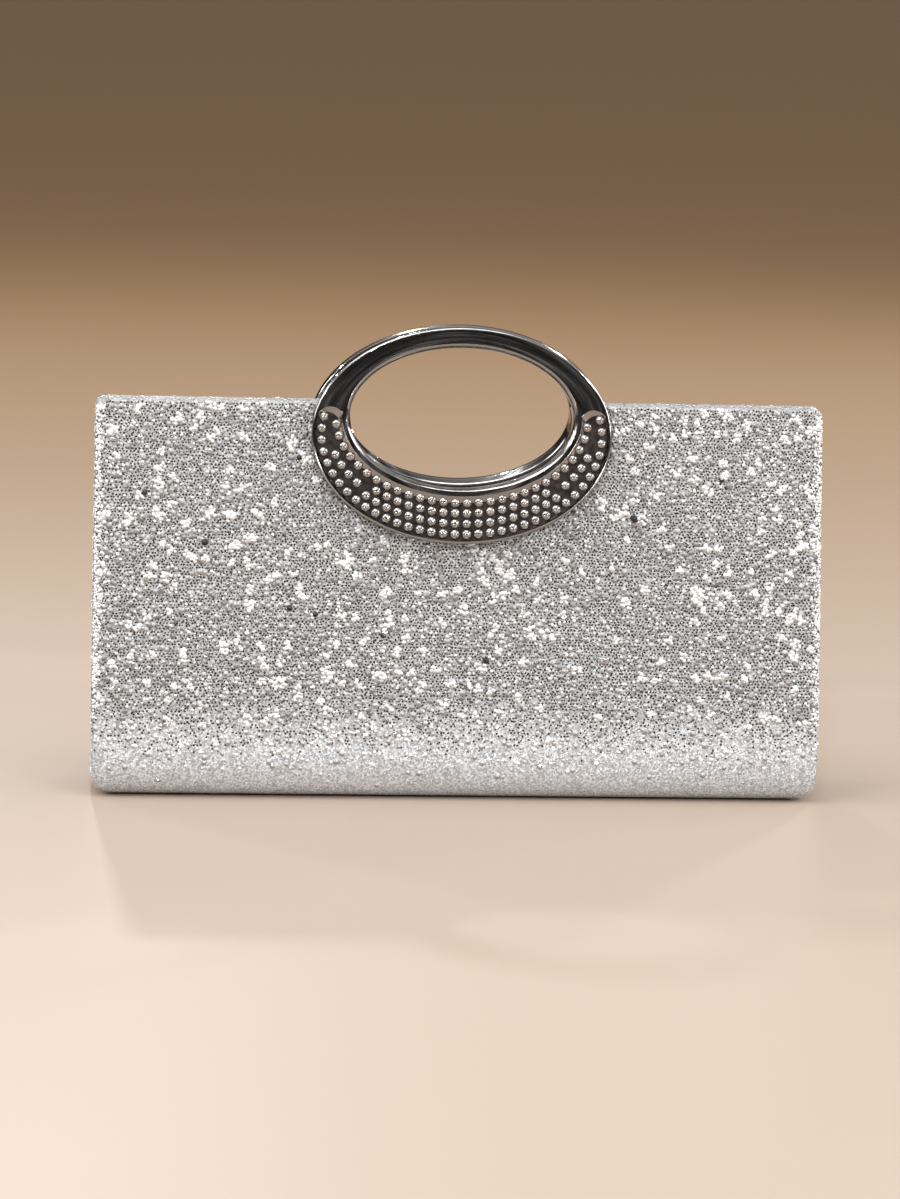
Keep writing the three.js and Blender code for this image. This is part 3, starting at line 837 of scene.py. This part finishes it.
def ring_mesh():
    """The oval ring with its sunk crescent, and the collar that lines the notch behind it."""
    bm = bmesh.new()
    rim_round = [(x - RIM_ROUND, RING_FACE + RIM_ROUND - y) for x, y in quarter(RIM_ROUND, 0, 90, 8)]
    back_edge = [(0.4, RING_BACK), (0.35, RING_BACK), (0.1, RING_BACK - 0.1), (0, RING_BACK - 0.35)]
    outer = [(-inset, depth) for inset, depth in back_edge] + rim_round + [(-RIM_ROUND - 0.05, RING_FACE)]
    inner = [
        *back_edge,
        (0, RING_FACE + GRIP_CHAMFER + 0.06),
        (0.03, RING_FACE + GRIP_CHAMFER - 0.03),
        (GRIP_CHAMFER - 0.03, RING_FACE + 0.03),
        (GRIP_CHAMFER + 0.06, RING_FACE),
        (GRIP_CHAMFER + 0.12, RING_FACE),
    ]
    outer_back, outer_face = loft(bm, profile_loops(lambda grow: oval_loop(RIM, grow), outer))
    inner_back, inner_face = loft(bm, profile_loops(lambda grow: oval_loop(GRIP, grow), inner))
    slope = [(-0.12, 0), (-0.06, 0), (0.0, 0.04), (0.1, 0.18), (0.55, 0.75)]
    tray = [(share, RING_FACE + sunk) for share, sunk in slope]
    tray += [(1.0, PLATE_FACE - 0.05), (1.0, TRAY_FLOOR)]
    tray_lip, tray_floor = loft(bm, profile_loops(tray_loop, tray))
    fill(bm, outer_face, inner_face, tray_lip)
    fill(bm, outer_back, inner_back)
    fill(bm, tray_floor)

    def collar(grow):
        return crescent_loop(grown(GRIP, 0.9 + grow), grown(GRIP, -grow), COLLAR_TOP + grow, 0)

    levels = [(-0.3, -1), (0, -1), (0, TURNED_THICKNESS - 0.3), (-0.3, TURNED_THICKNESS)]
    closed_loft(bm, profile_loops(collar, levels))
    return mesh_from_bmesh("ring", bm)


def tray_loop(share):
    """The tray's outline, drawn in by a share of the slope along its inner side and by much less outside."""
    inner = grown(TRAY_INNER, SLOPE_WIDTH_AT_ENDS * share, SLOPE_WIDTH * share)
    outer = grown(TRAY_OUTER, -0.35 * share)
    return crescent_loop(outer, inner, TRAY_TOP - SLOPE_WIDTH_AT_TIPS * share, TRAY_END_RISE)


def bead_places():
    """Rows of beads that follow the crescent: two at its ends, then three, and four in the middle."""
    outer_row = grown(TRAY_OUTER, -ROW_MARGIN)
    inner_row = grown(TRAY_INNER, ROW_MARGIN)
    places = []
    for share, wanted in ((0, (2, 3, 4)), (1 / 3, (4,)), (1 / 2, (3,)), (2 / 3, (4,)), (1, (2, 3, 4))):
        centre, half_across, half_up = (o + (i - o) * share for o, i in zip(outer_row, inner_row))
        end = math.asin((TRAY_TOP - 1 - centre) / half_up)
        angle = np.linspace(-math.pi / 2, end, 400)
        line = np.stack([half_across * np.cos(angle), centre + half_up * np.sin(angle)], 1)
        length = distance_along(line)
        for along in np.arange(BEAD_PITCH / 2, length[-1], BEAD_PITCH):
            at = np.interp(along, length, angle)
            place = np.array([half_across * math.cos(at), centre + half_up * math.sin(at)])
            if rows_at(at, outer_row, inner_row) in wanted:
                places += [place, place * (-1, 1)]
    return places


def rows_at(angle, outer_row, inner_row):
    """How many rows of beads fit there, by the room from the outer row towards the inner row's middle."""
    across = outer_row[1] * math.cos(angle)
    up = outer_row[0] + outer_row[2] * math.sin(angle) - inner_row[0]
    room = math.hypot(across, up) * (1 - 1 / math.hypot(across / inner_row[1], up / inner_row[2]))
    if room > ROOM_FOR_FOUR:
        return 4
    return 3 if room > ROOM_FOR_THREE else 2


def beads_mesh():
    """Every bead of one strip, a dome on a short round foot."""
    bm = bmesh.new()
    cap = BEAD_RADIUS / math.sin(BEAD_CAP)
    foot = BEAD_HEIGHT - cap * (1 - math.cos(BEAD_CAP))
    profile = [(BEAD_RADIUS, PLATE_FACE + 0.25)]
    for angle in np.linspace(BEAD_CAP, 0.15, 8):
        rise = cap * (math.cos(angle) - math.cos(BEAD_CAP)) + foot
        profile.append((cap * math.sin(angle), PLATE_FACE - rise))
    for place in bead_places():
        near, far = loft(bm, round_loops(place, profile, 24))
        fill(bm, near)
        tip = bm.verts.new((place[0], PLATE_FACE - BEAD_HEIGHT, place[1]))
        for k in range(len(far)):
            bm.faces.new((far[k - 1], far[k], tip))
    return mesh_from_bmesh("beads", bm)


def plate_mesh(make_loops, near, far, soft):
    """A plate with softened edges between two depths. make_loops gives its outline and then its holes."""
    bm = bmesh.new()
    edge = [(-soft - 0.05, 0), (-soft, 0), (-0.3 * soft, 0.3 * soft), (0, soft)]
    levels = [(grow, near + rise) for grow, rise in edge]
    levels += [(grow, far - rise) for grow, rise in reversed(edge)]
    by_level = [make_loops(grow) for grow, _ in levels]
    ends = []
    for loops in zip(*by_level):
        ends.append(loft(bm, [at_depth(line, depth) for line, (_, depth) in zip(loops, levels)]))
    fill(bm, *[near_ring for near_ring, _ in ends])
    fill(bm, *[far_ring for _, far_ring in ends])
    return mesh_from_bmesh("plate", bm)


def add_ring(side):
    def tray_outline(grow):
        return [tray_loop(1.02 - grow / SLOPE_WIDTH)]

    body, matrix = f"{side}_wall", wall_matrix(side)
    ring = new_piece(f"{side}_ring", ring_mesh(), CHROME, "dark_chrome", matrix, 35)
    plate = plate_mesh(tray_outline, PLATE_FACE, PLATE_FACE + 0.8, 0.05)
    plate = new_piece(f"{side}_tray_plate", plate, PLATE, "dark_chrome", matrix, 35)
    beads = new_piece(f"{side}_beads", beads_mesh(), SILVER, "bright_silver", matrix, 60)
    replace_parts(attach(ring, body), f"{side}_handle_ring")
    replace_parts(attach(plate, body), f"{side}_bead_strip")
    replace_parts(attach(beads, body), f"{side}_bead_strip")


# ---- Soft parts inside ----

LINING_THICKNESS = 0.5
LINING_HALF_WIDTH = 123.7
LINING_TOP = TURN_DEPTH - 1
GUSSET_ACROSS = 122.1
GUSSET_THICKNESS = 0.7
GUSSET_FOLD = 24
GUSSET_LOW = 4.6
GUSSET_FOLD_START = 22
GUSSET_TOP = 133
POCKET_HALF_WIDTH = 56
POCKET_FOOT = 8
POCKET_HEIGHT = 46
POCKET_CORNER = 6
POCKET_DEPTH = 4.25
POCKET_THICKNESS = 0.5
BINDING_RADIUS = 0.65
POCKET_SEAM = 1.6


def surface_mesh(points):
    """An open surface through a grid of points, (rows, columns, 3)."""
    return mesh_of("surface", points, grid_faces(*points.shape[:2]))


def add_lining(side):
    """Satin from under the turned edge down the wall and to the middle of the base, with a slight ripple."""
    on_wall = np.arange(LINING_TOP, WALL_LENGTH, 2.5)
    down = np.concatenate([on_wall, np.linspace(WALL_LENGTH, SHEET_LENGTH, 40)])
    across = np.linspace(-LINING_HALF_WIDTH, LINING_HALF_WIDTH, 110)
    across, down = np.meshgrid(across, down)
    inwards = np.sin(across / 17 + 1.3 * np.sin(down / 23)) * np.sin(down / 31 + across / 60)
    mesh = surface_mesh(on_sheet(across, down, WALL_THICKNESS + 0.12 * inwards))
    open_notch(mesh)
    piece = new_piece(f"{side}_satin_lining", mesh, SATIN, "satin", turn_matrix(side), 50)
    add_glued_sheet(piece, side, LINING_THICKNESS, "lining")


def room_at(height):
    """How far the inner face of the wall and the base is from the middle plane, at a height."""
    place, normal = section(np.linspace(0, SHEET_LENGTH, 500))
    inner = place + (WALL_THICKNESS + 0.05) * normal
    return -np.interp(height, inner[::-1, 1], inner[::-1, 0])


def gusset_points():
    """One half of a gusset, from its seam on the front wall to the crease in the middle plane."""
    height = np.linspace(GUSSET_LOW, GUSSET_TOP, 60)[:, None]
    share = np.linspace(0, 1, 22)[None, :]
    fold = GUSSET_FOLD * np.clip((height - GUSSET_FOLD_START) / (GUSSET_TOP - GUSSET_FOLD_START), 0, 1) ** 1.1
    room = room_at(height)
    across = GUSSET_ACROSS - fold * share**1.3
    near = -room * (1 - share)
    slack = 0.35 * np.sin(3 * np.pi * share) * np.sin(height / 9) * np.clip(room / 10, 0, 1)
    return np.stack([across + slack, near, np.broadcast_to(height, near.shape)], -1)


def add_gusset_half(side, end):
    """Half of a gusset, at the end where across has that sign on the front half."""
    foot_room, top_room = float(room_at(FOOT_HEIGHT)), float(room_at(GUSSET_TOP))
    mirror = Matrix.Diagonal((end, 1, 1, 1))
    mesh = surface_mesh(gusset_points())
    if end < 0:
        mesh.flip_normals()
    area = sum(face.area for face in mesh.polygons)
    where, matrix = hand(side, end), turn_matrix(side) @ mirror
    piece = new_piece(f"{where}_gusset_{side}_half", mesh, LEATHERETTE, "leatherette", matrix, 60)
    thicken(piece, GUSSET_THICKNESS)
    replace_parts(piece, f"{where}_gusset")
    width = max(GUSSET_FOLD, foot_room) * 1.12
    length = GUSSET_TOP - GUSSET_LOW
    size, area = (width * MM, length * MM), area * MM * MM
    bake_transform(piece)


def add_pocket():
    """The slip pocket on the rear lining, held at its sides and foot and a little open at the top."""
    height = np.concatenate([np.linspace(0, 8, 14), np.linspace(8, POCKET_HEIGHT, 24)[1:]])[:, None]
    corner = np.clip(POCKET_CORNER - height, 0, None)
    half = POCKET_HALF_WIDTH - POCKET_CORNER + np.sqrt(POCKET_CORNER**2 - corner**2)
    share = np.linspace(-1, 1, 70)[None, :]
    across = share * half
    up = height / POCKET_HEIGHT
    swell = (1 - share**8) * (0.35 * np.minimum(1, 6 * up) + 0.6 * up**3 * (1 - share**2))
    ripple = 0.08 * np.sin(across / 7) * np.sin(height / 6)
    depth = POCKET_DEPTH + swell + ripple
    points = np.stack([across, depth, np.broadcast_to(POCKET_FOOT + height, across.shape)], -1)
    mesh = surface_mesh(points)
    mesh.flip_normals()
    matrix = wall_matrix("rear")
    piece = new_piece("pocket", mesh, SATIN, "satin", matrix, 60)
    thicken(piece, POCKET_THICKNESS)
    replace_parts(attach(piece, "rear_wall"), "slip_pocket")
    edge = tube_mesh(points[-1] + np.array([0, -0.2, 0]), BINDING_RADIUS)
    binding = new_piece("pocket_binding", edge, SATIN, "satin", matrix, 60)
    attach(binding, "rear_wall")
    seams = stitches_mesh(pocket_seams())
    thread = new_piece("pocket_stitching", seams, THREAD, "satin", matrix, 60)
    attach(thread, "rear_wall")


def pocket_seams():
    """The lines of stitches up both sides of the pocket and along its foot."""
    seam = POCKET_HALF_WIDTH - POCKET_SEAM
    up = np.linspace(8, POCKET_HEIGHT - 1, 20)
    along = np.linspace(-POCKET_HALF_WIDTH + 8, POCKET_HALF_WIDTH - 8, 40)
    lines = [(0 * up - seam, up), (0 * up + seam, up), (along, 0 * along + POCKET_SEAM)]
    depth = POCKET_DEPTH + 0.17
    return [at_depth(np.stack([across, POCKET_FOOT + height], 1), depth) for across, height in lines]


def tube_mesh(line, radius, sides=12):
    """A round bar along a line that runs mostly across."""
    angle = turn_angles(sides)
    ring = radius * np.stack([0 * angle, np.cos(angle), np.sin(angle)], 1)
    return solids_mesh("tube", [[point + ring for point in line]])


STITCH_LENGTH = 2.2
STITCH_GAP = 0.9
STITCH_RADIUS = 0.2
SEAM_BELOW_TOP = 4.6
BESIDE_RING = 41


def stitches_mesh(lines):
    """Short rounded stitches, one after the other along each line."""
    profile = [(-0.5, 0.3), (-0.42, 0.8), (-0.2, 1), (0.2, 1), (0.42, 0.8), (0.5, 0.3)]
    angle = turn_angles(8)
    out = np.array([0.0, 1.0, 0.0])
    stitches = []
    for line in lines:
        length = distance_along(line)
        for start in np.arange(0, length[-1] - STITCH_LENGTH, STITCH_LENGTH + STITCH_GAP):
            near, far = (
                np.array([np.interp(at, length, line[:, k]) for k in range(3)])
                for at in (start, start + STITCH_LENGTH)
            )
            middle, along = (near + far) / 2, far - near
            aside = np.cross(along, out) / np.linalg.norm(along)
            ring = STITCH_RADIUS * (np.cos(angle)[:, None] * out + np.sin(angle)[:, None] * aside)
            stitches.append([middle + share * along + radius * ring for share, radius in profile])
    return solids_mesh("stitches", stitches)


def add_edge_stitching(side):
    """The line of stitches that holds the turned edge, which stops beside the snaps and the strap links."""
    stops = [BESIDE_RING, SNAP_ACROSS - SNAP_RADIUS - 1, SNAP_ACROSS + SNAP_RADIUS + 1, HALF_WIDTH - 4]
    if side == "rear":
        stops[3:3] = [LINK_ACROSS - LINK_HALF_WIDTH - 1, LINK_ACROSS + LINK_HALF_WIDTH + 1]
    lines = []
    for low, high in zip(stops[::2], stops[1::2]):
        for end in (-1, 1):
            across = end * np.linspace(low, high, 8)
            seam = np.stack([across, 0 * across + WALL_LENGTH - SEAM_BELOW_TOP], 1)
            lines.append(at_depth(seam, TURNED_THICKNESS))
    mesh = stitches_mesh(lines)
    thread = new_piece(f"{side}_edge_stitching", mesh, THREAD, "satin", wall_matrix(side), 60)
    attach(thread, f"{side}_wall")


# ---- Metal parts inside ----

CLAMP_NEAR = 4.0
CLAMP_FAR = 5.3
SCREW_HEAD = 2.2


def screw_places():
    for degrees in SCREW_ANGLES:
        angle = math.radians(degrees)
        rim, grip = (
            np.array([oval[1] * math.cos(angle), oval[0] + oval[2] * math.sin(angle)]) for oval in (RIM, GRIP)
        )
        yield rim + SCREW_SHARE * (grip - rim)


def cross_loop(place, reach, half, count=64):
    """The outline of a cross-shaped recess."""
    angle = turn_angles(count)
    from_arm = (angle + np.pi / 4) % (np.pi / 2) - np.pi / 4
    radius = np.minimum(reach / np.cos(from_arm), half / np.maximum(np.abs(np.sin(from_arm)), 1e-3))
    return np.stack([place[0] + radius * np.cos(angle), place[1] + radius * np.sin(angle)], 1)


def screws_mesh():
    """Heads of four screws with a cross recess."""
    dome = [(SCREW_HEAD, 0), (SCREW_HEAD, 0.45), (SCREW_HEAD - 0.15, 0.68), (1.7, 0.84), (1.5, 0.87)]
    profile = [(radius, CLAMP_FAR + rise) for radius, rise in dome]
    screws = []
    for place in screw_places():
        recess = [at_depth(cross_loop(place, 1.15, 0.32), CLAMP_FAR + rise) for rise in (0.88, 0.45)]
        screws.append(round_loops(place, profile, 64) + recess)
    return solids_mesh("screws", screws)


def add_steel(name, mesh, matrix, body, *nodes):
    """A steel piece that rides a body and stands for those nodes of the CAD."""
    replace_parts(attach(new_piece(name, mesh, STEEL, "steel", matrix, 35), body), *nodes)


def add_clamp(side):
    def outline(grow):
        return [crescent_loop(grown(RIM, grow - 2), grown(GRIP, 1.2 - grow), WALL_LENGTH - 7 + grow, 1)]

    body, matrix = f"{side}_wall", wall_matrix(side)
    clamp = plate_mesh(outline, CLAMP_NEAR, CLAMP_FAR, 0.3)
    add_steel(f"{side}_clamp", clamp, matrix, body, f"{side}_clamp_plate")
    screws = [f"{side}_clamp_screw_{k}" for k in (1, 2, 3, 4)]
    add_steel(f"{side}_clamp_screws", screws_mesh(), matrix, body, *screws)


def snap_mesh(end, profile):
    """A snap's half on the front wall. Its back lies on the slanting lining, and its profile is upright."""
    place = WALL_FRAME @ Vector((0, 0, WALL_LENGTH - SNAP_BELOW_TOP))
    centre = (end * SNAP_ACROSS, place.z)
    back = at_depth(circle_loop(centre, SNAP_RADIUS, 64), 0)
    depth = WALL_THICKNESS
    up_the_wall = (back[:, 2] - FOOT_HEIGHT + depth * math.sin(LEAN)) * math.tan(LEAN)
    back[:, 1] = -FOOT_HALF_DEPTH + depth * math.cos(LEAN) + up_the_wall
    return solids_mesh("snap", [[back, *round_loops(centre, profile, 64)]])


def add_snaps(side):
    face = -0.2
    rim = [(SNAP_RADIUS, face - 0.5), (SNAP_RADIUS - 0.15, face - 0.15), (SNAP_RADIUS - 0.5, face)]
    rim += [(5.7, face), (5.6, face - 0.1), (5.55, face - 0.3), (5.5, face - 0.3), (2.8, face - 0.3)]
    socket = [(2.75, face - 0.3), (2.6, face), (2.2, face), (2.1, face - 0.1), (2.1, face - 1.6)]
    stud = [(2.0, face - 0.3), (1.8, face - 0.2), (1.8, 0.85), (1.6, 1.07), (1.3, 1.1)]
    for end in (-1, 1):
        mesh = snap_mesh(end, rim + (socket if side == "front" else stud))
        where = hand(side, end)
        name, node = f"{side}_snap_half_{where}", f"{side}_snap_{where}"
        add_steel(name, mesh, turn_matrix(side), f"{side}_wall", node)


def racetrack(place, radius, reach, count=48):
    """The outline of a bar with round ends, from its upper centre down to its lower one."""
    angle = turn_angles(count)
    down = np.where(np.sin(angle) < -1e-6, reach, 0)
    return np.stack([place[0] + radius * np.cos(angle), place[1] - down + radius * np.sin(angle)], 1)


def rivet_mesh(place):
    """A rivet with a domed head that holds a strap link."""
    seat = LINK_NEAR + LINK_THICKNESS + 0.1
    head = [(RIVET_SHANK, 1.6), (RIVET_SHANK, seat), (RIVET_HEAD, seat), (RIVET_HEAD, seat + 0.2)]
    for angle in np.radians([25, 45, 65, 80]):
        head.append((RIVET_HEAD * math.cos(angle), seat + 0.2 + 0.7 * math.sin(angle)))
    return solids_mesh("rivet", [round_loops(place, head, 48)])


def link_mesh(place):
    """A strap link: a bar with round ends, with the rivet's hole above and the strap's eye below."""
    eye = (place[0], place[1] - LINK_REACH)

    def outline(grow):
        bar = racetrack(place, LINK_HALF_WIDTH + grow, LINK_REACH)
        return [bar, circle_loop(place, RIVET_HOLE - grow, 32), circle_loop(eye, LINK_EYE - grow, 32)]

    return plate_mesh(outline, LINK_NEAR, LINK_NEAR + LINK_THICKNESS, 0.25)


def add_links():
    matrix = wall_matrix("rear")
    for end, where in ((-1, "right"), (1, "left")):
        place = (end * LINK_ACROSS, WALL_LENGTH - LINK_BELOW_TOP)
        add_steel(f"{where}_link", link_mesh(place), matrix, f"{where}_link", f"{where}_strap_link")
        add_steel(f"{where}_rivet", rivet_mesh(place), matrix, "rear_wall", f"{where}_strap_rivet")


def finish_cad_nodes():
    """Materials for the CAD nodes that stay: the boards, and the washers behind the linings."""
    for name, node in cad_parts.items():
        material = CARDBOARD if name.endswith("board") else STEEL
        for k in range(len(node.material_slots)):
            node.material_slots[k].material = material


# ---- Stage ----

TARGET = Vector((0, 0, 0.075))
DISTANCE = 1.691
AZIMUTH, ELEVATION, ROLL = (math.radians(angle) for angle in (4.77, 8.82, 1.47))
# Greys of the room from below to above, and the colour of the wall behind the purse
ROOM = [(0.0, 0.02), (0.3, 0.03), (0.52, 0.5), (0.8, 0.7), (0.97, 0.25)]
WALL = (0.174, 0.122, 0.084, 1)
# Colours of the floor from near to far, and the stretch in metres over which they change. The darkening far
# off is painted shade for the light falling off behind the purse.
FLOOR_TONES = [(0, (0.42, 0.335, 0.27)), (0.4, (0.36, 0.255, 0.17)), (1, (0.36, 0.21, 0.1))]
FLOOR_NEAR, FLOOR_FAR = 0.2, 1.8
FLOOR_HALF_SIZE = 15
FLOOR_GAP = 0.0005
LIGHTS_AIM = (0, 0, 0.07)
SPARKS = [(-1.0, -1.2, 1.0), (0.8, -1.4, 0.9), (-0.2, -1.6, 1.1), (1.4, -0.9, 0.5)]


def add_camera():
    data = bpy.data.cameras.new("camera")
    data.sensor_width = 36
    data.lens = 146.8
    data.shift_x, data.shift_y = -0.00505, -0.0203
    data.clip_end = 50
    camera = bpy.data.objects.new("camera", data)
    level_back = Vector((0, -math.cos(ELEVATION), math.sin(ELEVATION)))
    back = Matrix.Rotation(-AZIMUTH, 3, "Z") @ level_back
    camera.location = TARGET + DISTANCE * back
    level = (-back).to_track_quat("-Z", "Y").to_matrix()
    camera.rotation_euler = (level @ Matrix.Rotation(ROLL, 3, "Z")).to_euler()
    bpy.context.scene.collection.objects.link(camera)
    bpy.context.scene.camera = camera


def add_area_light(name, place, size, power, color=(1, 1, 1)):
    data = bpy.data.lights.new(name, "AREA")
    data.shape = "RECTANGLE"
    data.size, data.size_y = size
    data.energy = power
    data.color = color
    light = bpy.data.objects.new(name, data)
    light.location = place
    light.rotation_euler = (Vector(LIGHTS_AIM) - Vector(place)).to_track_quat("-Z", "Y").to_euler()
    bpy.context.scene.collection.objects.link(light)


def add_world():
    """A dim studio, dark round the horizon and lighter above, with a plain warm wall behind everything."""
    n = Nodes(bpy.data.worlds.new("studio"))
    height = n.axis("Z", n.add("TexCoord").outputs["Generated"])
    room = n.tree.nodes["Background"]
    tones = [(at, (grey, 0.96 * grey, 0.92 * grey)) for at, grey in ROOM]
    n.join(n.ramp(height, tones), room.inputs["Color"])
    wall = n.add("Background", Color=WALL)
    mix = n.add("MixShader")
    n.join(n.add("LightPath").outputs["Is Camera Ray"], mix.inputs["Fac"])
    n.join(room.outputs[0], mix.inputs[1])
    n.join(wall.outputs[0], mix.inputs[2])
    n.join(mix.outputs[0], n.tree.nodes["World Output"].inputs["Surface"])
    bpy.context.scene.world = n.owner
    bpy.context.scene.view_settings.view_transform = "Standard"


def add_lights():
    """Soft light from above and both sides, low strips for the metal and small sparks for the glitter."""
    add_area_light("overhead", (-0.2, -0.4, 1.3), (1.3, 0.7), 13, (1, 0.99, 0.98))
    for x in (-1, 1):
        add_area_light(f"side_{x}", (1.8 * x, -0.2, 1.1), (1.4, 0.9), 18)
        add_area_light(f"low_{x}", (0.7 * x, -1.3, 0.07), (0.35, 0.1), 3)
    for k, (x, y, z) in enumerate(SPARKS):
        add_area_light(f"spark_{k}", (x, y, z), (0.07, 0.07), 5)
        add_area_light(f"rear_spark_{k}", (x, -y, z), (0.07, 0.07), 5)


def add_floor():
    """A pale floor that darkens into the background far behind the purse, a painted shade for the light
    falling off there.
    """
    m = new_material("floor")
    m.set(Roughness=0.42, Specular_IOR_Level=0.3)
    reach = m.spread(m.axis("Y"), 0, 1, FLOOR_NEAR, FLOOR_FAR)
    m.join(m.ramp(reach, FLOOR_TONES), m.shader.inputs["Base Color"])
    corners = [(x * FLOOR_HALF_SIZE, y * FLOOR_HALF_SIZE, 0) for x, y in ((-1, -1), (1, -1), (1, 1), (-1, 1))]
    mesh = mesh_of("floor", corners, [(0, 1, 2, 3)])
    mesh.materials.append(m.owner)
    floor = bpy.data.objects.new("floor", mesh)
    floor.location.z = -FLOOR_GAP
    bpy.context.scene.collection.objects.link(floor)


add_camera()
add_world()
add_lights()
add_floor()
for side in SIDES:
    add_cover(side)
    add_flakes(side)
    add_ring(side)
    add_lining(side)
    add_clamp(side)
    add_snaps(side)
    add_edge_stitching(side)
    for end in (-1, 1):
        add_gusset_half(side, end)
add_pocket()
add_links()
finish_cad_nodes()
